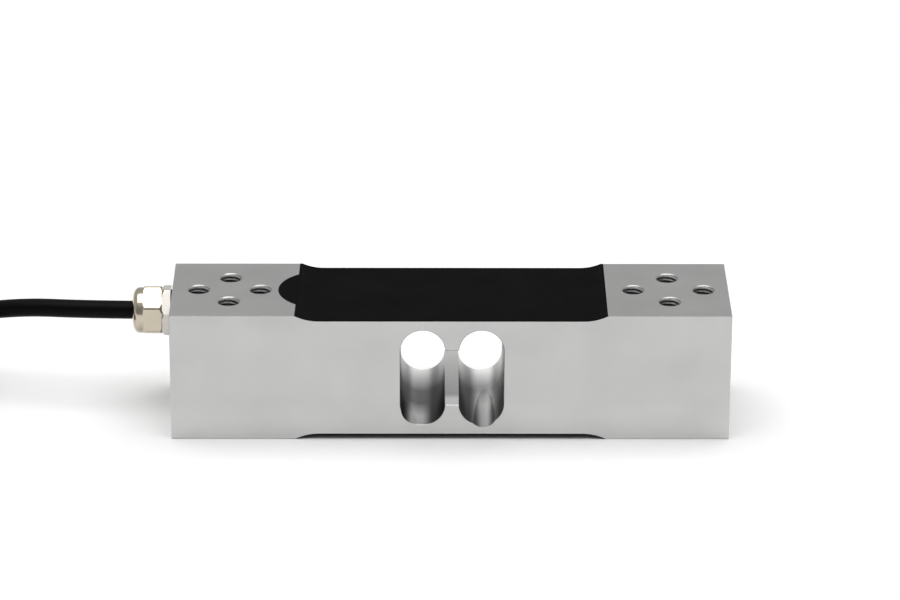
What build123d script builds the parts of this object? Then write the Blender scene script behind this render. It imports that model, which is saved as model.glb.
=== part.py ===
"""Single-point weighing load cell: an aluminium bending beam with a double-hole cut-out, gauges
under a black sealing film on its two thin faces, a brass cable gland in one end and its cable.

All sizes are in millimetres. The origin is the centre of the block's bottom face, X runs along
the block towards the loaded end, Y away from the viewer and Z up. The cable leaves at -X.
"""
import math
import os

from build123d import *

FROM_BELOW = (Align.CENTER, Align.CENTER, Align.MIN)
FROM_ABOVE = (Align.CENTER, Align.CENTER, Align.MAX)

# Block
BLOCK_L = 150.0
BLOCK_W = 36.0
BLOCK_H = 36.0
EDGE_BREAK = 0.1

# Shallow recess across the top face, the same one across the bottom face, and the film in both
RECESS_DEPTH = 1.55
RECESS_LEFT = -34.9
RECESS_RIGHT = 35.5
RECESS_SLANT = 0.02
RUN_OUT_R = 14.0
FILM_T = 0.3

# Double-hole cut-out from front to back and the slot that joins its holes
CUT_LEFT_X = -7.45
CUT_RIGHT_X = 8.3
CUT_W = 12.0
CUT_H = 27.5
SLOT_H = 15.9
CUT_BREAK = 0.15

# Trim grooves filed at the feet of both holes, deepest at the front face: X and Z of the groove's
# axis there, its radius, how far the axis moves along X and Z over the groove's length, and that length
TRIM_GROOVES = (
    (-9.05, 8.6, 4.2, 0.45, 0.47, 14.0),
    (8.8, 7.05, 3.6, 0.0, 1.0, 27.0),
)

# Threaded mounting holes, M6, in a diamond at each end of both faces. The main diamonds take the
# load on top of the right end and the base under the left end, and the spare ones lie opposite.
BOLT_R = 3.0
BOLT_DEPTH = 10.0
BOLT_BREAK = 0.2
BOLT_CROSS = 16.0
MAIN_INSET = 16.2
MAIN_ALONG = 19.0
SPARE_INSET = 15.55
SPARE_ALONG = 16.6

# Round wiring pocket in the top, and the hole from its floor to the lower recess
POCKET_X = -33.4
POCKET_R = 13.0
POCKET_DEPTH = 5.6
FILL_BELOW_TOP = 0.1
FILL_T = 2.7
WIRE_HOLE_BACK = 2.6
WIRE_HOLE_R = 2.0

# Cable port in the left end and the slanted passage from it to the wire hole
PORT_Y = 9.0
PORT_DROP = 10.0
PORT_R = 4.0
PORT_DEPTH = 7.0
PASSAGE_R = 1.4
PASSAGE_LEAD = 1.0
PASSAGE_SIDE = 0.2
PASSAGE_LOW = 0.8

# Gauges, terminal strips, board and flat wire ribbons
GAUGE_L = 9.0
GAUGE_W = 6.0
GAUGE_T = 0.12
TERMINAL_L = 3.5
TERMINAL_W = 7.0
TERMINAL_T = 0.14
BOARD_AHEAD = 6.9
BOARD_L = 7.0
BOARD_W = 14.0
BOARD_T = 0.8
RIBBON_W = 2.4
RIBBON_T = 0.14
RIBBON_LAP = 1.5
RIBBON_GAP = 0.1

# Cable cores inside the block
CORE_R = 0.42
CORE_PITCH = 0.96
CORE_RUN_IN = 2.0
CORE_FAN = 1.5
CORE_LAP = 0.6
CORE_BEND = 1.0
COLOURS = ("red", "green", "white", "black")

# Gland, outwards from the block's left end
GASKET_T = 0.9
GASKET_WALL = 1.6
STEM_L = 6.0
BODY_HEX_L = 2.2
BODY_HEX_FLATS = 12.5
BODY_HEX_TURN = 48.0
BODY_HEX_ROUND = 0.3
SLEEVE_R = 4.8
SLEEVE_L = 4.5
THREAD_GAP = 0.05
BORE_GAP = 0.15
NUT_GAP = 0.2
NUT_HEX_L = 5.0
NUT_HEX_FLATS = 12.6
NUT_HEX_TURN = 34.0
NUT_HEX_ROUND = 1.0
HEX_BREAK = 0.6
NOSE_R = 6.25
NOSE_L = 3.0
NOSE_ROUND_L = 1.8
NOSE_ROUND_R = 2.7
NOSE_WALL = 1.9
NOSE_GAP = 0.1
SEAL_WALL = 1.2
SEAL_L = 3.8
RING_L = 1.4
RING_GAP = 0.4

# Cable: its first stretch from the gland to the hank, and the tail that leaves the hank
CABLE_R = 2.5
ROUTE = [
    (-69.2, PORT_Y, BLOCK_H - PORT_DROP),
    (-95.0, PORT_Y, BLOCK_H - PORT_DROP),
    (-121.0, 14.0, 25.0),
    (-144.0, 24.0, 16.0),
    (-166.0, 27.4, 8.6),
]
TAIL = [
    (-218.0, -8.6, 2.5),
    (-206.5, -16.2, 2.6),
    (-193.0, -18.8, 2.9),
    (-180.0, -18.4, 2.95),
]

# Hank of the put-away length, its tie, the sleeve over the cable's end and the leads
HANK_X = -177.9
HANK_Y = 7.0
HANK_RUN = 54.0
HANK_R = 22.9
HANK_H = 10.4
WAIST_W = 29.8
WAIST_R = 11.0
TIE_W = 9.0
TIE_T = 1.0
END_SLEEVE_OVER = 5.0
END_SLEEVE_PAST = 6.0
END_SLEEVE_SKIN = 0.4
LEAD_R = 0.55
LEAD_PITCH = 1.2
LEAD_STRAIGHT = 11.0
LEAD_REACH = 47.0
LEAD_DRIFT = 1.8
LEAD_BEND = 12.0

# Places that follow from the sizes above
END_X = -BLOCK_L / 2
PORT_Z = BLOCK_H - PORT_DROP
UPPER_FLOOR = BLOCK_H - RECESS_DEPTH
POCKET_FLOOR = BLOCK_H - POCKET_DEPTH
FILL_TOP = BLOCK_H - FILL_BELOW_TOP
WIRE_HOLE_X = POCKET_X - WIRE_HOLE_BACK
POCKET_END = POCKET_X + POCKET_R
BOARD_X = POCKET_X + BOARD_AHEAD
BOARD_EDGE = BOARD_X - BOARD_L / 2
BOARD_TOP = POCKET_FLOOR + BOARD_T
TERMINAL_X = (POCKET_END + CUT_LEFT_X - GAUGE_L / 2) / 2
TERMINAL_END = TERMINAL_X - TERMINAL_L / 2
PASSAGE_START = Vector(END_X + PORT_DEPTH - PASSAGE_LEAD, PORT_Y - PASSAGE_SIDE, PORT_Z - PASSAGE_LOW)
PASSAGE_END = Vector(WIRE_HOLE_X, 0, BLOCK_H / 2 - PASSAGE_LOW)
BODY_START = END_X - GASKET_T
BODY_END = BODY_START - BODY_HEX_L
NUT_START = BODY_END - NUT_GAP
NUT_END = NUT_START - NUT_HEX_L
NOSE_END = NUT_END - NOSE_L
RING_END = NOSE_END + NOSE_WALL
RING_START = RING_END + RING_L
SEAL_START = RING_START + SEAL_L
TAIL_END = Vector(*TAIL[-1])
TAIL_WAY = (TAIL_END - Vector(*TAIL[-2])).normalized()
TAIL_SIDE = Vector(0, 0, 1).cross(TAIL_WAY)


def recess_level(surface, depth):
    """Height of a point at some depth under the top face, or over the bottom face if surface is -1."""
    return BLOCK_H - depth if surface > 0 else depth


def recess_space(surface, film, reach):
    """The recess, or what is left of it over a film of some thickness, out to Y = -reach and reach. Its
    left run-out stands a little askew to the block."""
    radius = RUN_OUT_R - film
    rise = RUN_OUT_R - RECESS_DEPTH
    run = math.sqrt(radius**2 - rise**2)
    lean = math.atan2(run, rise) / 2
    face = recess_level(surface, 0)
    floor = recess_level(surface, RECESS_DEPTH - film)
    middle = recess_level(surface, radius * math.cos(lean) - rise)
    aside = radius * math.sin(lean)
    skew = Vector(RECESS_SLANT, 1, 0)
    with BuildPart() as space:
        with BuildSketch(Plane.XZ):
            with BuildLine():
                ThreePointArc((RECESS_LEFT - run, face), (RECESS_LEFT - aside, middle), (RECESS_LEFT, floor))
                Polyline((RECESS_LEFT, floor), (CUT_LEFT_X, floor), (CUT_LEFT_X, face), (RECESS_LEFT - run, face))
            make_face()
        extrude(amount=reach * skew.length, dir=skew, both=True)
        with BuildSketch(Plane.XZ):
            with BuildLine():
                ThreePointArc((RECESS_RIGHT, floor), (RECESS_RIGHT + aside, middle), (RECESS_RIGHT + run, face))
                Polyline((RECESS_RIGHT + run, face), (POCKET_X, face), (POCKET_X, floor), (RECESS_RIGHT, floor))
            make_face()
        extrude(amount=reach, both=True)
    return space.part


def gland_plane(x):
    """Plane across the gland's axis at x, facing -X, with the sketch's X along +Y and its Y down."""
    return Plane(origin=(x, PORT_Y, PORT_Z), x_dir=(0, 1, 0), z_dir=(-1, 0, 0))


def draw_corner_break(face_x, inwards, flats, size):
    """Triangle that a turn about the gland's axis takes off the corners of a hexagon's end face."""
    corner = flats / math.sqrt(3)
    Polyline((face_x, corner - size), (face_x, corner + size),
             (face_x + inwards * size, corner + size), (face_x + inwards * size, corner), close=True)


def tube_arcs(points):
    """Radii of a cord's arcs: for each corner 0.45 of the shorter run over the tangent of half the turn."""
    corners = [Vector(*p) for p in points]
    radii = []
    for before, here, after in zip(corners, corners[1:], corners[2:]):
        shorter = min((here - before).length, (after - here).length)
        turn = math.radians((here - before).get_angle(after - here))
        radii.append(0.45 * shorter / math.tan(turn / 2))
    return radii


def report_tube(name, points, length, volume):
    """Print a cord tube's radii and length, and its volume beside its section times its length."""
    product = math.pi * CABLE_R**2 * length
    print(name, "radii", [round(r, 1) for r in tube_arcs(points)], "length", round(length, 1),
          "volume", round(volume, 1), "section x length", round(product, 1))


GLAND_AXIS = Axis((0, PORT_Y, PORT_Z), (1, 0, 0))
GLAND_SECTION = Plane(origin=(0, PORT_Y, PORT_Z), x_dir=(1, 0, 0), z_dir=(0, -1, 0))
pieces = {}

# Spring element
with BuildPart() as spring_element:
    Box(BLOCK_L, BLOCK_W, BLOCK_H, align=FROM_BELOW)
    chamfer(spring_element.edges(), EDGE_BREAK)
    for surface in (1, -1):
        add(recess_space(surface, 0, BLOCK_W), mode=Mode.SUBTRACT)
    with BuildSketch(Plane.XZ):
        with Locations((CUT_LEFT_X, BLOCK_H / 2), (CUT_RIGHT_X, BLOCK_H / 2)):
            SlotOverall(CUT_H, CUT_W, rotation=90)
        with Locations(((CUT_LEFT_X + CUT_RIGHT_X) / 2, BLOCK_H / 2)):
            Rectangle(CUT_RIGHT_X - CUT_LEFT_X, SLOT_H)
    extrude(amount=BLOCK_W, both=True, mode=Mode.SUBTRACT)
    rims = [e for e in spring_element.edges(Select.LAST) if math.isclose(abs(e.center().Y), BLOCK_W / 2)]
    chamfer(rims, CUT_BREAK)
    for x, z, radius, shift_x, shift_z, length in TRIM_GROOVES:
        slope = Vector(shift_x, length, shift_z)
        with BuildSketch(Plane(origin=Vector(x, -BLOCK_W / 2, z) - slope / length, z_dir=slope)):
            Circle(radius)
        extrude(amount=slope.length, mode=Mode.SUBTRACT)
    for end, inset, along in ((1, MAIN_INSET, MAIN_ALONG), (-1, SPARE_INSET, SPARE_ALONG)):
        for dx, dy in ((along / 2, 0), (-along / 2, 0), (0, BOLT_CROSS / 2), (0, -BOLT_CROSS / 2)):
            bolt_x = (BLOCK_L / 2 - inset + dx) * end
            with Locations((bolt_x, dy, BLOCK_H)):
                Cylinder(BOLT_R, BOLT_DEPTH, align=FROM_ABOVE, mode=Mode.SUBTRACT)
                Cone(BOLT_R, BOLT_R + BOLT_BREAK, BOLT_BREAK, align=FROM_ABOVE, mode=Mode.SUBTRACT)
            with Locations((-bolt_x, dy, 0)):
                Cylinder(BOLT_R, BOLT_DEPTH, align=FROM_BELOW, mode=Mode.SUBTRACT)
                Cone(BOLT_R + BOLT_BREAK, BOLT_R, BOLT_BREAK, align=FROM_BELOW, mode=Mode.SUBTRACT)
    with Locations((POCKET_X, 0, POCKET_FLOOR)):
        Cylinder(POCKET_R, POCKET_DEPTH, align=FROM_BELOW, mode=Mode.SUBTRACT)
    with Locations((WIRE_HOLE_X, 0, 0)):
        Cylinder(WIRE_HOLE_R, POCKET_FLOOR, align=FROM_BELOW, mode=Mode.SUBTRACT)
    with BuildSketch(gland_plane(END_X)):
        Circle(PORT_R)
    extrude(amount=-PORT_DEPTH, mode=Mode.SUBTRACT)
    passage = PASSAGE_END - PASSAGE_START
    with BuildSketch(Plane(origin=PASSAGE_START, z_dir=passage)):
        Circle(PASSAGE_R)
    extrude(amount=passage.length, mode=Mode.SUBTRACT)
pieces["spring_element"] = spring_element

# Strain gauges over the cut-out's holes, two on the upper thin face and two on the lower
for face_name, base in (("top", UPPER_FLOOR), ("bottom", RECESS_DEPTH - GAUGE_T)):
    for side_name, x in (("left", CUT_LEFT_X), ("right", CUT_RIGHT_X)):
        with BuildPart() as gauge:
            with Locations((x, 0, base)):
                Box(GAUGE_L, GAUGE_W, GAUGE_T, align=FROM_BELOW)
        pieces[f"{face_name}_gauge_{side_name}"] = gauge

# Solder terminal strips between the gauges and the pocket
for face_name, base in (("top", UPPER_FLOOR), ("bottom", RECESS_DEPTH - TERMINAL_T)):
    with BuildPart() as terminals:
        with Locations((TERMINAL_X, 0, base)):
            Box(TERMINAL_L, TERMINAL_W, TERMINAL_T, align=FROM_BELOW)
    pieces[f"{face_name}_terminals"] = terminals

# Compensation board on the pocket's floor
with BuildPart() as compensation_board:
    with Locations((BOARD_X, 0, POCKET_FLOOR)):
        Box(BOARD_L, BOARD_W, BOARD_T, align=FROM_BELOW)
pieces["compensation_board"] = compensation_board

# Flat wire ribbon from the upper terminals into the pocket and onto the board
fall_x = POCKET_END - RIBBON_GAP
upper_lap_x = BOARD_X + BOARD_L / 2 - RIBBON_LAP
with BuildPart() as top_ribbon:
    with BuildSketch(Plane.XZ):
        with BuildLine():
            Polyline((TERMINAL_END, UPPER_FLOOR), (TERMINAL_END, UPPER_FLOOR + RIBBON_T),
                     (fall_x - RIBBON_T, UPPER_FLOOR + RIBBON_T), (fall_x - RIBBON_T, BOARD_TOP + RIBBON_T),
                     (upper_lap_x, BOARD_TOP + RIBBON_T), (upper_lap_x, BOARD_TOP),
                     (fall_x, BOARD_TOP), (fall_x, UPPER_FLOOR), close=True)
        make_face()
    extrude(amount=RIBBON_W / 2, both=True)
pieces["top_ribbon"] = top_ribbon

# Flat wire ribbon from the lower terminals along the recess, up the wire hole and onto the board
climb_x = WIRE_HOLE_X + math.sqrt(WIRE_HOLE_R**2 - (RIBBON_W / 2)**2) - RIBBON_GAP
lower_lap_x = BOARD_EDGE + RIBBON_LAP
with BuildPart() as bottom_ribbon:
    with BuildSketch(Plane.XZ):
        with BuildLine():
            Polyline((TERMINAL_END, RECESS_DEPTH), (TERMINAL_END, RECESS_DEPTH - RIBBON_T),
                     (climb_x - RIBBON_T, RECESS_DEPTH - RIBBON_T), (climb_x - RIBBON_T, BOARD_TOP + RIBBON_T),
                     (lower_lap_x, BOARD_TOP + RIBBON_T), (lower_lap_x, BOARD_TOP),
                     (climb_x, BOARD_TOP), (climb_x, RECESS_DEPTH), close=True)
        make_face()
    extrude(amount=RIBBON_W / 2, both=True)
pieces["bottom_ribbon"] = bottom_ribbon

# Cable cores inside the block: through the passage, up the wire hole and over to the board
for colour, (out, side) in zip(COLOURS, ((1, 1), (1, -1), (-1, 1), (-1, -1))):
    slope = passage.normalized()
    begin = PASSAGE_START + Vector(0, side * CORE_PITCH / 2, -out * CORE_PITCH / 2)
    rise_x = WIRE_HOLE_X + (out - 1) * CORE_PITCH / 2
    foot = begin + slope * ((rise_x - begin.X) / slope.X)
    high = BOARD_TOP + RIBBON_T + CORE_R + (1 - out) * CORE_PITCH / 2
    across = side * (RIBBON_W / 2 + CORE_R + (1 - out) / 2 * CORE_FAN)
    with BuildPart() as core:
        with BuildLine():
            core_path = FilletPolyline(
                begin, foot, (rise_x, foot.Y, high), (BOARD_EDGE - CORE_RUN_IN, across, high),
                (BOARD_EDGE + CORE_LAP, across + side * CORE_LAP / 2, BOARD_TOP + CORE_R), radius=CORE_BEND)
        with BuildSketch(Plane(origin=core_path @ 0, z_dir=core_path % 0)):
            Circle(CORE_R)
        sweep()
    pieces[f"core_{colour}"] = core

# Sealing film in the upper recess, in one piece with the fill of the round pocket over its wires
with BuildPart() as top_sealant:
    add(recess_space(1, 0, BLOCK_W / 2))
    with Locations((POCKET_X, 0, FILL_TOP)):
        Cylinder(POCKET_R, FILL_T, align=FROM_ABOVE)
    add(recess_space(1, FILM_T, BLOCK_W), mode=Mode.SUBTRACT)
    for name in ("top_gauge_left", "top_gauge_right", "top_terminals", "top_ribbon"):
        add(pieces[name].part, mode=Mode.SUBTRACT)
pieces["top_sealant"] = top_sealant

# Sealing film in the lower recess
with BuildPart() as bottom_sealant:
    add(recess_space(-1, 0, BLOCK_W / 2))
    add(recess_space(-1, FILM_T, BLOCK_W), mode=Mode.SUBTRACT)
    for name in ("bottom_gauge_left", "bottom_gauge_right", "bottom_terminals", "bottom_ribbon"):
        add(pieces[name].part, mode=Mode.SUBTRACT)
pieces["bottom_sealant"] = bottom_sealant

# Gland gasket between the block's end and the gland body
with BuildPart() as gland_gasket:
    with BuildSketch(gland_plane(END_X)):
        Circle(PORT_R + GASKET_WALL)
        Circle(PORT_R, mode=Mode.SUBTRACT)
    extrude(amount=GASKET_T)
pieces["gland_gasket"] = gland_gasket

# Gland body: hexagon, threaded stem in the port and threaded sleeve under the nut
with BuildPart() as gland_body:
    with BuildSketch(gland_plane(BODY_START)):
        RegularPolygon(BODY_HEX_FLATS / 2, 6, major_radius=False, rotation=-BODY_HEX_TURN)
        fillet(vertices(), BODY_HEX_ROUND)
    extrude(amount=BODY_HEX_L)
    with BuildSketch(GLAND_SECTION):
        with BuildLine():
            draw_corner_break(BODY_END, 1, BODY_HEX_FLATS, HEX_BREAK)
        make_face()
    revolve(axis=GLAND_AXIS, mode=Mode.SUBTRACT)
    with BuildSketch(gland_plane(END_X + STEM_L)):
        Circle(PORT_R)
    extrude(amount=STEM_L + GASKET_T)
    with BuildSketch(gland_plane(BODY_END)):
        Circle(SLEEVE_R)
    extrude(amount=SLEEVE_L)
    with BuildSketch(gland_plane(END_X + STEM_L)):
        Circle(CABLE_R + BORE_GAP)
    extrude(amount=BLOCK_L, mode=Mode.SUBTRACT)
    with BuildSketch(gland_plane(SEAL_START)):
        Circle(CABLE_R + SEAL_WALL)
    extrude(amount=BLOCK_L, mode=Mode.SUBTRACT)
pieces["gland_body"] = gland_body

# Rubber seal round the cable, in the body's sleeve
with BuildPart() as gland_seal:
    with BuildSketch(gland_plane(SEAL_START)):
        Circle(CABLE_R + SEAL_WALL)
        Circle(CABLE_R, mode=Mode.SUBTRACT)
    extrude(amount=SEAL_L)
pieces["gland_seal"] = gland_seal

# Thrust ring between the seal and the nut's nose
with BuildPart() as gland_ring:
    with BuildSketch(gland_plane(RING_START)):
        Circle(SLEEVE_R - RING_GAP)
        Circle(CABLE_R, mode=Mode.SUBTRACT)
    extrude(amount=RING_L)
pieces["gland_ring"] = gland_ring

# Gland nut: hexagon with a round nose that the cable comes out of
with BuildPart() as gland_nut:
    with BuildSketch(gland_plane(NUT_START)):
        RegularPolygon(NUT_HEX_FLATS / 2, 6, major_radius=False, rotation=-NUT_HEX_TURN)
        fillet(vertices(), NUT_HEX_ROUND)
    extrude(amount=NUT_HEX_L)
    with BuildSketch(GLAND_SECTION):
        with BuildLine():
            draw_corner_break(NUT_END, 1, NUT_HEX_FLATS, HEX_BREAK)
        make_face()
        with BuildLine():
            draw_corner_break(NUT_START, -1, NUT_HEX_FLATS, HEX_BREAK)
        make_face()
    revolve(axis=GLAND_AXIS, mode=Mode.SUBTRACT)
    with BuildSketch(GLAND_SECTION):
        with BuildLine():
            EllipticalCenterArc((NOSE_END + NOSE_ROUND_L, NOSE_R - NOSE_ROUND_R), NOSE_ROUND_L, NOSE_ROUND_R,
                                start_angle=90, arc_size=90)
            Polyline((NOSE_END, NOSE_R - NOSE_ROUND_R), (NOSE_END, 0), (NUT_END, 0), (NUT_END, NOSE_R),
                     (NOSE_END + NOSE_ROUND_L, NOSE_R))
        make_face()
    revolve(axis=GLAND_AXIS)
    with BuildSketch(gland_plane(NUT_START)):
        Circle(SLEEVE_R + THREAD_GAP)
    extrude(amount=NUT_START - RING_END, mode=Mode.SUBTRACT)
    with BuildSketch(gland_plane(NUT_START)):
        Circle(CABLE_R + NOSE_GAP)
    extrude(amount=BLOCK_L, mode=Mode.SUBTRACT)
pieces["gland_nut"] = gland_nut

# Hank: two rounded ends and a waist, the outer shape of the folded runs, with a groove for the tie
with BuildPart() as cable_hank:
    with BuildSketch():
        with Locations((HANK_X - HANK_RUN / 2, HANK_Y), (HANK_X + HANK_RUN / 2, HANK_Y)):
            Circle(HANK_R)
        with Locations((HANK_X, HANK_Y)):
            Rectangle(HANK_RUN, WAIST_W)
        waist_corners = [v for v in vertices() if math.isclose(abs(v.Y - HANK_Y), WAIST_W / 2)]
        fillet(waist_corners, WAIST_R)
    extrude(amount=HANK_H)
    with Locations((HANK_X, HANK_Y, 0)):
        Box(TIE_W, 2 * HANK_R, TIE_T, align=FROM_BELOW, mode=Mode.SUBTRACT)
pieces["cable_hank"] = cable_hank

# Tie round the hank's waist
with BuildPart() as cable_tie:
    with BuildSketch(Plane.YZ.offset(HANK_X - TIE_W / 2)):
        with Locations((HANK_Y, (HANK_H + TIE_T) / 2)):
            RectangleRounded(WAIST_W + 2 * TIE_T, HANK_H + TIE_T, TIE_T)
            Rectangle(WAIST_W, HANK_H - TIE_T, mode=Mode.SUBTRACT)
    extrude(amount=TIE_W)
pieces["cable_tie"] = cable_tie

# Cable jacket from the gland's stem to the top of the hank
with BuildPart() as cable_jacket:
    with BuildLine():
        route_path = FilletPolyline(*ROUTE, radius=tube_arcs(ROUTE))
    with BuildSketch(Plane(origin=ROUTE[0], z_dir=route_path % 0)):
        Circle(CABLE_R)
    sweep()
    report_tube("cable_jacket", ROUTE, route_path.length, cable_jacket.part.volume)
    with Locations((HANK_X, HANK_Y, 0)):
        Box(HANK_RUN + 2 * HANK_R, 3 * HANK_R, HANK_H, align=FROM_BELOW, mode=Mode.SUBTRACT)
pieces["cable_jacket"] = cable_jacket

# Cable tail from the hank's side to the cable's end
with BuildPart() as cable_tail:
    with BuildLine():
        tail_path = FilletPolyline(*TAIL, radius=tube_arcs(TAIL))
    with BuildSketch(Plane(origin=TAIL[0], z_dir=tail_path % 0)):
        Circle(CABLE_R)
    sweep()
    report_tube("cable_tail", TAIL, tail_path.length, cable_tail.part.volume)
    add(cable_hank.part, mode=Mode.SUBTRACT)
pieces["cable_tail"] = cable_tail

# Leads that come out of the cable's end side by side and fan out on the floor
for colour, step in zip(COLOURS, (-1.5, -0.5, 0.5, 1.5)):
    at = TAIL_END + TAIL_SIDE * step * LEAD_PITCH
    with BuildPart() as lead:
        with BuildLine():
            lead_path = FilletPolyline(
                at, at + TAIL_WAY * LEAD_STRAIGHT,
                (at.X + LEAD_REACH * 0.55, at.Y + step * LEAD_PITCH * 0.4 - LEAD_DRIFT / 2, 2 * LEAD_R),
                (at.X + LEAD_REACH - step**2, at.Y + step * LEAD_PITCH - LEAD_DRIFT, LEAD_R),
                radius=LEAD_BEND)
        with BuildSketch(Plane(origin=at, z_dir=lead_path % 0)):
            Circle(LEAD_R)
        sweep()
    pieces[f"lead_{colour}"] = lead

# Sleeve over the end of the jacket, closed round the leads
with BuildPart() as end_sleeve:
    with BuildSketch(Plane(origin=TAIL_END - TAIL_WAY * END_SLEEVE_OVER, z_dir=TAIL_WAY)):
        Circle(CABLE_R + END_SLEEVE_SKIN)
    extrude(amount=END_SLEEVE_OVER + END_SLEEVE_PAST)
    with BuildSketch(Plane(origin=TAIL_END, z_dir=TAIL_WAY)):
        Circle(CABLE_R)
    extrude(amount=-END_SLEEVE_OVER, mode=Mode.SUBTRACT)
    for colour in COLOURS:
        add(pieces[f"lead_{colour}"].part, mode=Mode.SUBTRACT)
pieces["end_sleeve"] = end_sleeve

# Each piece is labelled and written as its own file
os.makedirs("parts", exist_ok=True)
for name, piece in pieces.items():
    piece.part.label = name
    export_step(piece.part, f"parts/{name}.step")
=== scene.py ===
"""Looks of the single-point weighing load cell: its machined block, sealing films, gland and cable."""

import bpy
import numpy as np
from mathutils import Matrix


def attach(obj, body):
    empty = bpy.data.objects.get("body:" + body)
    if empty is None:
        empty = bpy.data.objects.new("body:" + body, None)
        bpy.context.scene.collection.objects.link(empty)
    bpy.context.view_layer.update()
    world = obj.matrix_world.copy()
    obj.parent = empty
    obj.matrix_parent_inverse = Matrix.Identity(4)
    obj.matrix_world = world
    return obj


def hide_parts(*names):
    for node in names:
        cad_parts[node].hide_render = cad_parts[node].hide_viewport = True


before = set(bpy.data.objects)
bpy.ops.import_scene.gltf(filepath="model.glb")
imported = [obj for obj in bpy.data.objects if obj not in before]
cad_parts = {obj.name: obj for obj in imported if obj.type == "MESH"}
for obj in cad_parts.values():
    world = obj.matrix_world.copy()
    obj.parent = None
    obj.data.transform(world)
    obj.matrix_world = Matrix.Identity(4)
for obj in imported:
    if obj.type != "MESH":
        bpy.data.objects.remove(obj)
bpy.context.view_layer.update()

MM = 0.001
BLOCK_L, BLOCK_W, BLOCK_H = 150.0, 36.0, 36.0
CABLE_R = 2.5


# ---------------------------------------------------------------- meshes from arrays

def grid_mesh(name, points, wrap_rows=False, texture=(1.0, 1.0)):
    """A smooth surface through a grid of points (rows, columns, 3) in millimetres. Each row closes on itself,
    and wrapped rows also join the last row to the first. The UV map runs once along the columns and once
    along the rows, times texture."""
    rows, columns = points.shape[:2]
    r, c = np.meshgrid(np.arange(rows if wrap_rows else rows - 1), np.arange(columns), indexing="ij")
    r2, c2 = (r + 1) % rows, (c + 1) % columns
    faces = np.stack([r * columns + c, r * columns + c2, r2 * columns + c2, r2 * columns + c], -1)
    faces = faces.reshape(-1, 4)
    u = np.stack([c, c + 1, c + 1, c], -1).reshape(-1) / columns * texture[0]
    v = np.stack([r, r, r + 1, r + 1], -1).reshape(-1) / rows * texture[1]
    mesh = bpy.data.meshes.new(name)
    mesh.from_pydata((points.reshape(-1, 3) * MM).tolist(), [], faces.tolist())
    layer = mesh.uv_layers.new(name="UVMap")
    layer.data.foreach_set("uv", np.stack([u, v], -1).astype(np.float32).ravel())
    mesh.polygons.foreach_set("use_smooth", np.full(len(faces), True))
    mesh.update()
    piece = bpy.data.objects.new(name, mesh)
    bpy.context.scene.collection.objects.link(piece)
    return piece


def turned(name, profile, start, along, turns=64, flatten=None):
    """A closed turned shape: the profile's pairs (distance along the axis, radius) go round the axis. The
    first and last radius are nearly zero, which closes the ends. flatten gives each pair's (width, height)
    share of the radius, across the axis and upwards."""
    along = np.array(along, float) / np.linalg.norm(along)
    side = np.cross((0.0, 0.0, 1.0), along)
    side /= np.linalg.norm(side)
    up = np.cross(along, side)
    profile = np.array(profile, float)
    shares = np.ones((len(profile), 2)) if flatten is None else np.array(flatten, float)
    angle = np.linspace(0, 2 * np.pi, turns, endpoint=False)
    points = (np.array(start, float)
              + profile[:, None, :1] * along
              + (profile[:, 1:2] * shares[:, :1] * np.cos(angle))[..., None] * side
              + (profile[:, 1:2] * shares[:, 1:] * np.sin(angle))[..., None] * up)
    return grid_mesh(name, points)


# ---------------------------------------------------------------- shader nodes

NOISE_RANGE = (0.3, 0.7)


def feed(owner, socket, value):
    """Gives a socket of a material or world an output to follow, a colour or a number."""
    if isinstance(value, bpy.types.NodeSocket):
        owner.node_tree.links.new(value, socket)
    elif socket.type == "RGBA":
        socket.default_value = (*value, 1)
    else:
        socket.default_value = value


def node(owner, kind, inputs=None, **settings):
    """A new node in a material or world, with its settings and what feeds its inputs, by name or number."""
    made = owner.node_tree.nodes.new(kind)
    for setting, value in settings.items():
        setattr(made, setting, value)
    for key, value in (inputs or {}).items():
        feed(owner, made.inputs[key], value)
    return made


def shader(name, colour, roughness, metallic=0.0, specular=0.5, sheen=0.0):
    """A material with one Principled shader, its even values set on the shader's own sockets."""
    material = bpy.data.materials.new(name)
    material.use_nodes = True
    bsdf = material.node_tree.nodes["Principled BSDF"]
    feed(material, bsdf.inputs["Base Color"], colour)
    feed(material, bsdf.inputs["Roughness"], roughness)
    feed(material, bsdf.inputs["Metallic"], metallic)
    feed(material, bsdf.inputs["Specular IOR Level"], specular)
    feed(material, bsdf.inputs["Sheen Weight"], sheen)
    return material, bsdf


def noise(material, scale, detail, stretch=(1, 1, 1)):
    """Noise on the piece's own coordinates, in features per metre, stretched by a share along each axis."""
    place = node(material, "ShaderNodeTexCoord").outputs["Object"]
    mapped = node(material, "ShaderNodeMapping", {"Vector": place, "Scale": stretch}).outputs["Vector"]
    texture = node(material, "ShaderNodeTexNoise", {"Vector": mapped, "Scale": scale, "Detail": detail})
    return texture.outputs["Fac"]


def spread(material, value, low, high):
    """Maps noise from its usual range onto two numbers."""
    start, stop = NOISE_RANGE
    limits = {"From Min": start, "From Max": stop, "To Min": low, "To Max": high}
    return node(material, "ShaderNodeMapRange", {"Value": value, **limits}).outputs["Result"]


def tint(material, value, low, high):
    """Maps noise from its usual range onto two colours."""
    ramp = node(material, "ShaderNodeValToRGB", {"Fac": value})
    for element, position, colour in zip(ramp.color_ramp.elements, NOISE_RANGE, (low, high)):
        element.position = position
        element.color = (*colour, 1)
    return ramp.outputs["Color"]


def relief(material, bsdf, value, strength, height, below=None):
    """Bump from a value, height in metres, laid over another bump if one is given."""
    bump = node(material, "ShaderNodeBump", {"Strength": strength, "Distance": height, "Height": value})
    if below is not None:
        feed(material, bump.inputs["Normal"], below)
    feed(material, bsdf.inputs["Normal"], bump.outputs["Normal"])
    return bump.outputs["Normal"]


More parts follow.
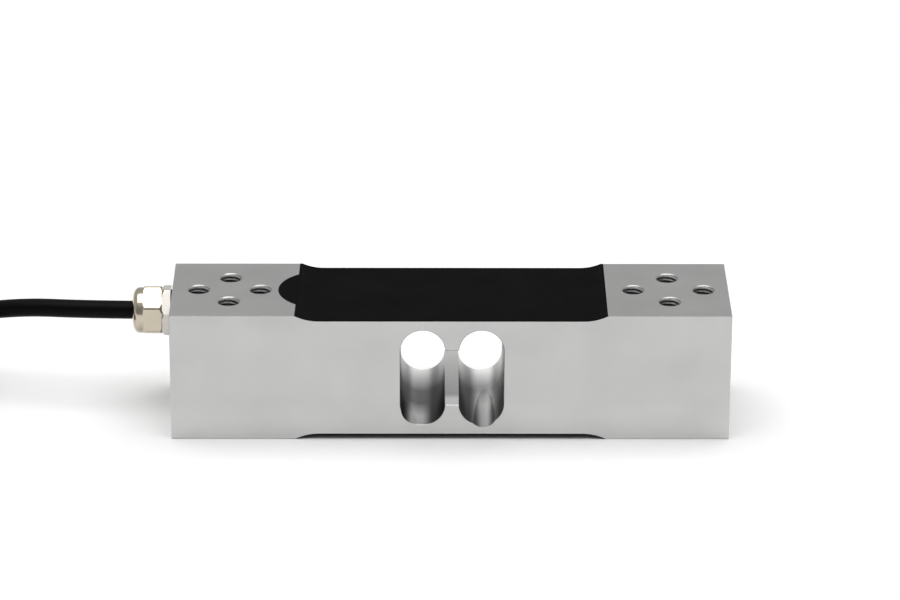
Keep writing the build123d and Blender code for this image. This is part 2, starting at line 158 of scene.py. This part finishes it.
def product(owner, first, *others):
    """The product of several values."""
    for other in others:
        first = node(owner, "ShaderNodeMath", {0: first, 1: other}, operation="MULTIPLY").outputs["Value"]
    return first


def mixed(owner, share, first, second, kind="RGBA"):
    """A mix of two colours or numbers, each a value or an output: none of the second at share 0, all at 1."""
    mix = node(owner, "ShaderNodeMix", {"Factor": share, "A": first, "B": second}, data_type=kind)
    return mix.outputs["Result"]


def own_axes(material):
    """The piece's own X, Y and Z coordinates, in metres."""
    place = node(material, "ShaderNodeTexCoord").outputs["Object"]
    axes = node(material, "ShaderNodeSeparateXYZ", {"Vector": place})
    return [axes.outputs[axis] for axis in "XYZ"]


def between(material, coordinate, low, high, soft):
    """1 where a coordinate lies between two limits and 0 outside, with edges as wide as soft, all three in
    millimetres."""
    steps = []
    for limit, way in ((low, 1), (high, -1)):
        edge = {"From Min": (limit - way * soft / 2) * MM, "From Max": (limit + way * soft / 2) * MM}
        steps.append(node(material, "ShaderNodeMapRange", {"Value": coordinate, **edge}).outputs["Result"])
    return product(material, *steps)


# ---------------------------------------------------------------- materials

def grey(level):
    """A neutral metal tone, a trace warmer than pure grey."""
    return level, level, level * 0.99


def cloudy(material, low, high):
    """Two close metal tones in soft clouds of about 20 mm."""
    return tint(material, noise(material, 55, 3), grey(low), grey(high))


# Tones are grey levels, and places are millimetres on the block's own axes
FACE_TONES, PAINTED_LIGHT_FOOT_TONES, PAINTED_SHADE_EDGE_TONE = (0.525, 0.565), (0.61, 0.65), 0.22
LEFT_HOLE_LIT_AND_SHADED_TONES = (0.43, 0.036)                 # bare walls: in painted light at the rear, and in painted shade over the rest of their depth
RIGHT_HOLE_LIT_AND_SHADED_TONES = (0.52, 0.08)
SLOT_TONE = 0.35
WALL_ROUGHNESS = 0.40
CUT_OUT_X, CUT_OUT_MIDDLE, SLOT_X = (-15.0, 15.8), 0.4, (-1.45, 2.3)
THIN_FACE = 2.8                                 # a little less than the metal above and below the cut-out
EDGE = 0.09                                     # the band along the upper front edge that is broken, painted in shade
OUTSIDE = 30.0                                  # a limit that lies beyond the faces
# Painted light from the front, in three bands at the foot of the cut-out's walls; the right hole's band also
# marks its freshly filed groove.
PAINTED_LIGHT_BANDS = (            # from and to in X, softness in X, how far back in Y, softness in Y, tone
    (-11.5, -6.2, 2.4, -8.5, 8.0, 0.38),        # the left hole's foot
    (6.6, 12.0, 2.4, 1.0, 12.0, 0.47),          # the right hole's foot
    (-1.4, 2.2, 0.2, -12.5, 3.0, 0.72),         # the slot's mouth
)
PAINTED_LIGHT_TOP = 11.2


def skin_tone(material, y, z):
    """The block's faces: cloudy, a shade lighter towards the foot by painted light, and darkened by painted
    shade on the broken edge in front, which hides its highlight.
    """
    # Painted light: the faces are a shade lighter towards the foot, which brightens the lower face where it
    # reflects the shaded floor.
    foot = between(material, z, -OUTSIDE, 4, 14)
    faces = mixed(material, foot, cloudy(material, *FACE_TONES), cloudy(material, *PAINTED_LIGHT_FOOT_TONES))
    # Painted shade: a dark tone on the broken upper front edge hides the highlight it reflects from the
    # softbox.
    front = between(material, y, -BLOCK_W / 2 - 0.2, -BLOCK_W / 2 + EDGE, 0.02)
    top = between(material, z, BLOCK_H - EDGE, BLOCK_H + 0.2, 0.02)
    return mixed(material, product(material, front, top), faces, grey(PAINTED_SHADE_EDGE_TONE))


def wall_tone(material, x, y, z):
    """The wire-cut walls of the cut-out: a little darker than the faces, lighter at the rear by painted light
    from behind, darker by painted shade over the rest of their depth, and lighter in three bands at the foot
    by painted light from the front; the right hole's band also marks its freshly filed groove. The left hole
    is a shade darker than the right, and the slot has its own tone."""
    # Painted light at the rear of the walls, where light comes in from behind, and painted shade over the
    # rest of their depth.
    painted_shade_share = between(material, y, -OUTSIDE, 10.5, 14)
    left, right = (mixed(material, painted_shade_share, grey(rear), grey(rest))
                   for rear, rest in (LEFT_HOLE_LIT_AND_SHADED_TONES, RIGHT_HOLE_LIT_AND_SHADED_TONES))
    tone = mixed(material, between(material, x, CUT_OUT_MIDDLE, OUTSIDE, 0.1), left, right)
    tone = mixed(material, between(material, x, *SLOT_X, 0.1), tone, grey(SLOT_TONE))
    # Painted light from the front is laid over the walls' tone in each band, up to the bands' top height.
    foot = between(material, z, 0, PAINTED_LIGHT_TOP, 1)
    for start, stop, soft, back, fade, level in PAINTED_LIGHT_BANDS:
        front_painted_light = product(material, between(material, x, start, stop, soft),
                         between(material, y, -OUTSIDE, back, fade), foot)
        tone = mixed(material, front_painted_light, tone, grey(level))
    return tone


def machined_aluminium():
    """Fine-milled, clear anodised aluminium with faint cutter lines along the block and a little haze. The
    walls of the cut-out have their own tones, which hold painted light and painted shade."""
    material, bsdf = shader("machined aluminium", (0.53, 0.53, 0.525), 0.36, metallic=1.0)
    x, y, z = own_axes(material)
    inside = BLOCK_W / 2 - 0.07
    walls = product(material, between(material, x, *CUT_OUT_X, 0.2),
                    between(material, y, -inside, inside, 0.04),
                    between(material, z, THIN_FACE, BLOCK_H - THIN_FACE, 0.2))
    colour = mixed(material, walls, skin_tone(material, y, z), wall_tone(material, x, y, z))
    feed(material, bsdf.inputs["Base Color"], colour)
    haze = spread(material, noise(material, 140, 5, stretch=(0.4, 1, 1)), 0.33, 0.41)
    feed(material, bsdf.inputs["Roughness"], mixed(material, walls, haze, WALL_ROUGHNESS, "FLOAT"))
    lines = relief(material, bsdf, noise(material, 2600, 2, stretch=(0.02, 1, 1)), 0.12, 0.00002)
    relief(material, bsdf, noise(material, 900, 3), 0.06, 0.00003, lines)
    return material


def thread_aluminium():
    """Cut thread flanks: the same metal, darker inside than at the two mouths by painted shade, with fine
    tool marks.
    """
    material, bsdf = shader("cut thread", (0.27, 0.27, 0.265), 0.34, metallic=1.0)
    mouth_depth, mouth_tone, painted_shade_tone = 1.1, 0.52, 0.14
    # Painted shade: the thread is darker deeper than 1.1 mm in from either face.
    inside = between(material, own_axes(material)[2], mouth_depth, BLOCK_H - mouth_depth, 0.3)
    feed(material, bsdf.inputs["Base Color"], mixed(material, inside, grey(mouth_tone), grey(painted_shade_tone)))
    feed(material, bsdf.inputs["Roughness"], spread(material, noise(material, 1500, 4), 0.33, 0.45))
    relief(material, bsdf, noise(material, 4000, 3), 0.15, 0.00002)
    return material


def sealing_film():
    """Black silicone sealing film, dead matt, with a barely uneven surface."""
    material, bsdf = shader("black sealing film", (0.004, 0.004, 0.0045), 0.62, specular=0.02)
    feed(material, bsdf.inputs["Roughness"], spread(material, noise(material, 90, 4), 0.56, 0.68))
    soft = relief(material, bsdf, noise(material, 70, 2), 0.25, 0.0003)
    relief(material, bsdf, noise(material, 1200, 4), 0.10, 0.00005, soft)
    return material


def plated_brass(name, low, high):
    """Nickel plate over turned brass: semi-bright, with fine turning marks, warmer where it is thin."""
    material, bsdf = shader(name, low, 0.18, metallic=1.0)
    feed(material, bsdf.inputs["Base Color"], tint(material, noise(material, 120, 3), low, high))
    feed(material, bsdf.inputs["Roughness"], spread(material, noise(material, 350, 3), 0.15, 0.21))
    relief(material, bsdf, noise(material, 2200, 3, stretch=(1, 0.25, 0.25)), 0.04, 0.00002)
    return material


def cable_jacket():
    """Smooth black polyurethane jacket with a faint satin sheen and extrusion waviness."""
    material, bsdf = shader("black cable jacket", (0.002, 0.002, 0.0022), 0.42, specular=0.07)
    feed(material, bsdf.inputs["Roughness"], spread(material, noise(material, 200, 4), 0.38, 0.47))
    soft = relief(material, bsdf, noise(material, 60, 2), 0.2, 0.0004)
    relief(material, bsdf, noise(material, 1800, 3), 0.08, 0.00003, soft)
    return material


def rubber(name, colour):
    """Moulded black rubber: matt, with fine grain."""
    material, bsdf = shader(name, colour, 0.6, specular=0.25)
    feed(material, bsdf.inputs["Roughness"], spread(material, noise(material, 700, 4), 0.52, 0.68))
    relief(material, bsdf, noise(material, 3000, 3), 0.2, 0.00004)
    return material


def plain_plastic(name, colour, roughness, shift=0.06):
    """An evenly coloured plastic with slight mottling, by the share shift, and grain."""
    low = tuple(c * (1 - shift) for c in colour)
    high = tuple(min(1.0, c * (1 + shift)) for c in colour)
    material, bsdf = shader(name, colour, roughness, specular=0.4)
    mottled = spread(material, noise(material, 900, 3), roughness - 0.05, roughness + 0.06)
    feed(material, bsdf.inputs["Base Color"], tint(material, noise(material, 400, 4), low, high))
    feed(material, bsdf.inputs["Roughness"], mottled)
    relief(material, bsdf, noise(material, 2500, 3), 0.1, 0.00003)
    return material


def metal(name, colour, roughness):
    """A thin metal piece, mottled, with fine scratches along X."""
    material, bsdf = shader(name, colour, roughness, metallic=1.0)
    scratched = noise(material, 1200, 4, stretch=(0.1, 1, 1))
    feed(material, bsdf.inputs["Roughness"], spread(material, scratched, roughness - 0.08, roughness + 0.08))
    relief(material, bsdf, noise(material, 3000, 3), 0.15, 0.00002)
    return material


def woven_strap():
    """Black woven strap: over-and-under yarns from two crossed waves on the strap's own UV map, with fuzz."""
    material, bsdf = shader("black woven strap", (0.014, 0.014, 0.015), 0.85, specular=0.15, sheen=0.25)
    place = node(material, "ShaderNodeTexCoord").outputs["UV"]
    waves = [node(material, "ShaderNodeTexWave", {"Vector": place, "Scale": 1.0, "Distortion": 0.4},
                  bands_direction=direction).outputs["Fac"] for direction in ("X", "Y")]
    yarns = product(material, *waves)
    weave = relief(material, bsdf, yarns, 0.8, 0.00015)
    relief(material, bsdf, noise(material, 5000, 3), 0.3, 0.00005, weave)
    colour = tint(material, yarns, (0.006, 0.006, 0.006), (0.022, 0.022, 0.024))
    feed(material, bsdf.inputs["Base Color"], colour)
    return material


ALUMINIUM = machined_aluminium()
THREAD = thread_aluminium()
FILM = sealing_film()
NUT_NICKEL = plated_brass("warm nickel plate", (0.54, 0.48, 0.385), (0.57, 0.51, 0.415))
# Painted light: the gland body's plate is lighter than the nut's, which brightens its lower flats where they
# reflect the shaded floor.
PAINTED_LIGHT_BODY_NICKEL = plated_brass("nickel plate", (0.70, 0.662, 0.612), (0.74, 0.70, 0.65))
JACKET = cable_jacket()
GASKET = rubber("black gasket rubber", (0.012, 0.012, 0.012))
SLEEVE = rubber("black heat-shrink sleeve", (0.015, 0.015, 0.015))
STRAP = woven_strap()
TINNED = metal("tinned copper", (0.72, 0.71, 0.69), 0.32)
WIRES = {
    "red": plain_plastic("red wire insulation", (0.50, 0.015, 0.015), 0.36),
    "green": plain_plastic("green wire insulation", (0.015, 0.26, 0.05), 0.36),
    "white": plain_plastic("white wire insulation", (0.78, 0.78, 0.75), 0.36),
    "black": plain_plastic("black wire insulation", (0.015, 0.015, 0.015), 0.36),
}
FINISHES = {
    "spring_element": ALUMINIUM, "top_sealant": FILM, "bottom_sealant": FILM,
    "gland_gasket": GASKET, "gland_seal": GASKET, "gland_body": PAINTED_LIGHT_BODY_NICKEL, "gland_nut": NUT_NICKEL,
    "gland_ring": plain_plastic("grey polyamide", (0.5, 0.5, 0.48), 0.45),
    "compensation_board": plain_plastic("green board resist", (0.02, 0.15, 0.06), 0.3),
}
AMBER = plain_plastic("amber gauge foil", (0.42, 0.22, 0.05), 0.3)
PADS = metal("tinned pads", (0.70, 0.45, 0.30), 0.35)
ENAMEL = plain_plastic("enamelled wire ribbon", (0.30, 0.10, 0.03), 0.3)
for node_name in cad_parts:
    if "_gauge_" in node_name:
        FINISHES[node_name] = AMBER
    elif node_name.endswith("_terminals"):
        FINISHES[node_name] = PADS
    elif node_name.endswith("_ribbon"):
        FINISHES[node_name] = ENAMEL
    elif node_name.startswith(("core_", "lead_")):
        FINISHES[node_name] = WIRES[node_name.split("_")[1]]
for node_name, finish in FINISHES.items():
    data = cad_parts[node_name].data
    data.materials.clear()
    data.materials.append(finish)


# ---------------------------------------------------------------- camera

def placed(right, up, ahead, place):
    """The matrix of a camera or lamp at a place, from the directions to its right, above it and ahead."""
    matrix = np.eye(4)
    matrix[:3, 0], matrix[:3, 1], matrix[:3, 2], matrix[:3, 3] = right, up, -ahead, place
    return Matrix(matrix.tolist())


def place_camera():
    """A long lens at the photograph's viewing angle: angles in degrees, distances in metres."""
    pitch, yaw, roll = np.radians([23.39, 0.42, 0.22])
    aside, above, distance = -0.00008, 0.03024, 1.197
    focal_pixels, picture_pixels, sensor = 4385, 900, 36.0
    right = np.array([1.0, 0.0, 0.0])
    up = np.array([0.0, np.sin(pitch), np.cos(pitch)])
    ahead = np.array([0.0, np.cos(pitch), -np.sin(pitch)])
    place = aside * right + above * up - distance * ahead
    right, up = np.cos(roll) * right + np.sin(roll) * up, np.cos(roll) * up - np.sin(roll) * right
    turn = np.array([[np.cos(yaw), np.sin(yaw), 0], [-np.sin(yaw), np.cos(yaw), 0], [0, 0, 1]])
    data = bpy.data.cameras.new("camera")
    data.sensor_fit = "HORIZONTAL"
    data.sensor_width = sensor
    data.lens = focal_pixels / picture_pixels * sensor
    data.clip_start, data.clip_end = 0.01, 30.0
    camera = bpy.data.objects.new("camera", data)
    camera.matrix_world = placed(turn @ right, turn @ up, turn @ ahead, turn @ place)
    bpy.context.scene.collection.objects.link(camera)
    bpy.context.scene.camera = camera


place_camera()


# ---------------------------------------------------------------- cable

HANK = np.array([-177.9, 7.0])                  # the middle of the hank's waist, in X and Y
RUN = 54.0                                      # length of a long side
OUTER, INNER, PINCH = 20.4, 15.0, 8.0           # half widths of the two loops, and how far the waist draws in
LOW, HIGH = 2.55, 7.65                          # heights of the two layers
CROSS = (OUTER + INNER) / 2
LIFT, LIFT_HALF = 0.9, 7.0                      # height and half length of the rise over the strap


def run_side(away, radius, layer):
    """One long side of a loop: seven points along X. Y draws in towards the waist by a raised cosine of X,
    and Z rises over the strap by an exponential of minus the fourth power of X. away is 1 on the far side,
    which runs to -X, and -1 on the near side."""
    x = np.linspace(RUN / 2, -RUN / 2, 7) * away
    y = away * (radius - PINCH * 0.5 * (1 + np.cos(2 * np.pi * x / RUN)))
    z = layer + LIFT * np.exp(-(x / LIFT_HALF) ** 4)
    return np.stack([x, y, z], -1)


def fold(end, start_y, stop_y, reach, start_z, stop_z):
    """The fold at one end: five points on half an ellipse from start_y to stop_y that reaches past the run,
    while Z goes from start_z to stop_z by half a cosine wave. end is 1 towards +X and -1 towards -X."""
    t = np.radians([30, 60, 90, 120, 150])
    middle, half = (start_y + stop_y) / 2, (start_y - stop_y) / 2
    x = end * (RUN / 2 + reach * np.sin(t))
    y = middle + half * np.cos(t)
    z = start_z + (stop_z - start_z) * (1 - np.cos(t)) / 2
    return np.stack([x, y, z], -1)


LEAD_IN = np.array([
    (-69.2, 9.0, 26.0), (-95.0, 9.0, 26.0), (-121.0, 14.0, 25.0), (-144.0, 23.0, 16.4),
    (-160.0, 24.4, 9.9), (-169.0, 21.0, 8.6),
])
TAIL = np.array([(-218.0, -8.6, 2.5), (-206.5, -16.2, 2.6), (-193.0, -18.8, 2.9), (-180.0, -18.4, 2.95)])
loops = np.concatenate([
    run_side(1, OUTER, HIGH)[3:], fold(-1, OUTER, -OUTER, OUTER, HIGH, HIGH), run_side(-1, OUTER, HIGH),
    fold(1, -OUTER, INNER, CROSS, HIGH, HIGH),
    run_side(1, INNER, HIGH), fold(-1, INNER, -INNER, INNER, HIGH, HIGH), run_side(-1, INNER, HIGH),
    fold(1, -INNER, INNER, INNER - 1.2, HIGH, LOW),
    run_side(1, INNER, LOW), fold(-1, INNER, -INNER, INNER, LOW, LOW), run_side(-1, INNER, LOW),
    fold(1, -INNER, OUTER, CROSS, LOW, LOW),
    run_side(1, OUTER, LOW), fold(-1, OUTER, -OUTER, OUTER, LOW, LOW)[:4],
])
loops[:, :2] += HANK
route = np.concatenate([LEAD_IN, loops, TAIL])

curve = bpy.data.curves.new("cable", "CURVE")
curve.dimensions = "3D"
spline = curve.splines.new("NURBS")
spline.points.add(len(route) - 1)
spline.points.foreach_set("co", np.c_[route * MM, np.ones(len(route))].astype(np.float32).ravel())
spline.order_u = 3
spline.use_endpoint_u = True
spline.resolution_u = 12
curve.bevel_depth = CABLE_R * MM
curve.bevel_resolution = 7
curve.use_fill_caps = True
curve.materials.append(JACKET)
cable = bpy.data.objects.new("cable", curve)
bpy.context.scene.collection.objects.link(cable)
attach(cable, "root")
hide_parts("cable_jacket", "cable_hank", "cable_tail")


def strap_band():
    """The strap round the hank's waist: a rounded rectangle goes round in YZ, and the strap's own thin
    section is carried along it. The section is a flat oval: a cosine to the power 0.35 across, which keeps
    it square, by a sine to the power 0.7 outwards, which rounds its edges."""
    half_y, low, high, corner = 15.45, 0.55, 11.5, 2.6
    half_width, half_thickness = 4.5, 0.5
    corners = [(half_y - corner, high - corner, 0), (-half_y + corner, high - corner, 90),
               (-half_y + corner, low + corner, 180), (half_y - corner, low + corner, 270)]
    line = []
    for y, z, first in corners:
        t = np.radians(np.linspace(first, first + 90, 13))
        line.append(np.stack([y + corner * np.cos(t), z + corner * np.sin(t), np.cos(t), np.sin(t)], -1))
    line = np.concatenate(line)
    t = np.linspace(0, 2 * np.pi, 24, endpoint=False)
    across = half_width * np.sign(np.cos(t)) * np.abs(np.cos(t)) ** 0.35
    out = half_thickness * np.sign(np.sin(t)) * np.abs(np.sin(t)) ** 0.7
    points = np.stack([
        np.broadcast_to(HANK[0] + across, (len(line), len(t))),
        HANK[1] + line[:, :1] + line[:, 2:3] * out,
        line[:, 1:2] + line[:, 3:4] * out], -1)
    return grid_mesh("strap", points[:, ::-1], wrap_rows=True, texture=(12, 70))


strap = strap_band()
strap.data.materials.append(STRAP)
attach(strap, "root")
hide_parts("cable_tie")

# Heat-shrink sleeve over the cable's end, flattened past it round the row of leads
SLEEVE_RINGS = (        # distance along the cable, radius, share of it in width, share of it in height
    (-5.0, 2.56, 1, 1), (-4.9, 2.80, 1, 1), (-4.6, 2.88, 1, 1), (0.0, 2.88, 1, 1), (1.2, 2.75, 1, 0.94),
    (2.6, 2.70, 1, 0.66), (4.2, 2.80, 1, 0.42), (5.7, 2.85, 1, 0.34), (5.95, 2.80, 1, 0.32),
    (6.0, 2.60, 1, 0.30), (5.8, 0.01, 1, 0.30),
)
sleeve = turned("sleeve", [ring[:2] for ring in SLEEVE_RINGS], TAIL[-1], TAIL[-1] - TAIL[-2],
                flatten=[ring[2:] for ring in SLEEVE_RINGS])
sleeve.data.materials.append(SLEEVE)
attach(sleeve, "root")
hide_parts("end_sleeve")

lead_nodes = [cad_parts[f"lead_{c}"] for c in WIRES]

# The stripped and tinned tip of each lead, straight on from the middle of its end face, which faces +X
TIP_PROFILE = [(-0.6, 0.005), (-0.6, 0.2), (1.7, 0.2), (1.95, 0.13), (2.0, 0.005)]
END_FACE = 0.02         # how near the lead's end a corner of its end face lies
for colour, lead in zip(WIRES, lead_nodes):
    corners = np.array([tuple(lead.matrix_world @ v.co) for v in lead.data.vertices]) / MM
    face = corners[corners[:, 0] > corners[:, 0].max() - END_FACE]
    tip = turned(f"{colour}_lead_tip", TIP_PROFILE, (face.max(0) + face.min(0)) / 2, (1, 0, 0), turns=20)
    tip.data.materials.append(TINNED)
    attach(tip, "root")


# ---------------------------------------------------------------- threads of the mounting holes

WIDE, NARROW = (16.2, 19.0), (15.55, 16.6)      # a diamond's inset from the block's end, and its length
HALF_ACROSS = 8.0                               # from the block's middle to the two holes across it


def hole_thread(name, x, y, face, facing):
    """The M6 thread in one blind hole: radius 2.5 mm at the crests and 2.97 mm at the roots, following the
    power 0.8 of a raised cosine of depth plus turn, and minus turn from below, at a pitch of 1 mm. It runs
    out before the hole's foot and is opened by a 45 degree countersink and a worn first turn."""
    crest, height, wall = 2.5, 0.47, 2.995
    first, last, steps, around = 0.21, 9.6, 95, 64
    run_out, run_out_l = 9.0, 0.8
    depth = np.linspace(first, last, steps)[:, None]
    angle = np.linspace(0, 2 * np.pi, around, endpoint=False)[None]
    wave = 0.5 - 0.5 * np.cos(2 * np.pi * (depth + facing * angle / (2 * np.pi)))
    fade = np.clip((run_out - depth) / run_out_l, 0, 1)
    countersink, worn = 3.15 - depth, 2.94 - 0.30 * depth
    radius = np.maximum(crest + height * fade * wave ** 0.8, np.maximum(countersink, worn))
    closed = np.full((1, around), wall)
    radius = np.concatenate([closed, radius, closed])
    depth = np.concatenate([[[first]], depth, [[last]]]) * np.ones((1, around))
    points = np.stack([x + radius * np.cos(angle), y + radius * np.sin(angle), face - facing * depth], -1)
    return grid_mesh(name, points if facing > 0 else points[::-1], wrap_rows=True)


for end_name, side in (("right", 1), ("left", -1)):
    for face_name, face, facing in (("top", BLOCK_H, 1), ("bottom", 0.0, -1)):
        inset, spacing = WIDE if side == facing else NARROW
        centre = side * (BLOCK_L / 2 - inset)
        diamond = ((spacing / 2, 0), (-spacing / 2, 0), (0, HALF_ACROSS), (0, -HALF_ACROSS))
        for number, (dx, dy) in enumerate(diamond, 1):
            thread = hole_thread(f"{face_name}_{end_name}_thread_{number}", centre + dx, dy, face, facing)
            thread.data.materials.append(THREAD)
            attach(thread, "root")


# ---------------------------------------------------------------- floor, light and world

FLOOR_SIZE, FLOOR_DROP = 6.0, 0.00005
FLOOR_LIT, FLOOR_SEEN = (0.80,) * 3, (1.035,) * 3
ROOM_TONE, DARK_TONE, WHITE = (0.52,) * 3, (0.28,) * 3, (1.0,) * 3
DARK_STEPS = (("Y", -0.10, -0.60), ("Z", 0.80, 0.50))      # direction, where it starts, where it is full


def pale_floor():
    """A matt white floor that keeps the object's shadow. The camera and reflections see it in a stronger
    white than the one that lights the object."""
    bpy.ops.mesh.primitive_plane_add(size=FLOOR_SIZE, location=(0, 0, -FLOOR_DROP))
    floor = bpy.context.object
    floor.name = "floor"
    material, bsdf = shader("pale floor", FLOOR_LIT, 0.9, specular=0.0)
    path = node(material, "ShaderNodeLightPath").outputs
    seen = node(material, "ShaderNodeMath", {0: path["Is Camera Ray"], 1: path["Is Glossy Ray"]},
                operation="MAXIMUM").outputs["Value"]
    feed(material, bsdf.inputs["Base Color"], mixed(material, seen, FLOOR_LIT, FLOOR_SEEN))
    floor.data.materials.append(material)


def studio_world():
    """A pale grey room, dark in front where the photographer stands, and white where the camera looks past
    the floor. The darkness is the product of two smooth steps, one over -Y and one over the height."""
    world = bpy.data.worlds.new("studio")
    bpy.context.scene.world = world
    world.use_nodes = True
    place = node(world, "ShaderNodeTexCoord").outputs["Generated"]
    axes = node(world, "ShaderNodeSeparateXYZ", {"Vector": place}).outputs
    steps = [node(world, "ShaderNodeMapRange", {"Value": axes[axis], "From Min": start, "From Max": stop},
                  interpolation_type="SMOOTHSTEP").outputs["Result"] for axis, start, stop in DARK_STEPS]
    room = world.node_tree.nodes["Background"]
    feed(world, room.inputs["Color"], mixed(world, product(world, *steps), ROOM_TONE, DARK_TONE))
    white = node(world, "ShaderNodeBackground", {"Color": WHITE})
    seen = node(world, "ShaderNodeLightPath").outputs["Is Camera Ray"]
    both = node(world, "ShaderNodeMixShader", {
        "Fac": seen, 1: room.outputs["Background"], 2: white.outputs["Background"]})
    feed(world, world.node_tree.nodes["World Output"].inputs["Surface"], both.outputs["Shader"])


def soft_lamp(name, place, target, width, height, watts):
    """A rectangular soft lamp aimed at a point, in metres."""
    data = bpy.data.lights.new(name, "AREA")
    data.shape = "RECTANGLE"
    data.size, data.size_y, data.energy = width, height, watts
    lamp = bpy.data.objects.new(name, data)
    ahead = np.array(target, float) - np.array(place, float)
    ahead /= np.linalg.norm(ahead)
    right = np.cross(ahead, (0, 1, 0.001))
    right /= np.linalg.norm(right)
    lamp.matrix_world = placed(right, np.cross(right, ahead), ahead, place)
    bpy.context.scene.collection.objects.link(lamp)


pale_floor()
studio_world()
soft_lamp("overhead softbox", place=(0.0, -0.06, 1.1), target=(0, -0.06, 0),
          width=1.3, height=1.02, watts=9.4)
soft_lamp("low light behind", place=(0.0004, 0.085, 0.028), target=(0.0004, 0, 0.028),
          width=0.050, height=0.020, watts=0.0090)
bpy.context.scene.view_settings.view_transform = "Standard"
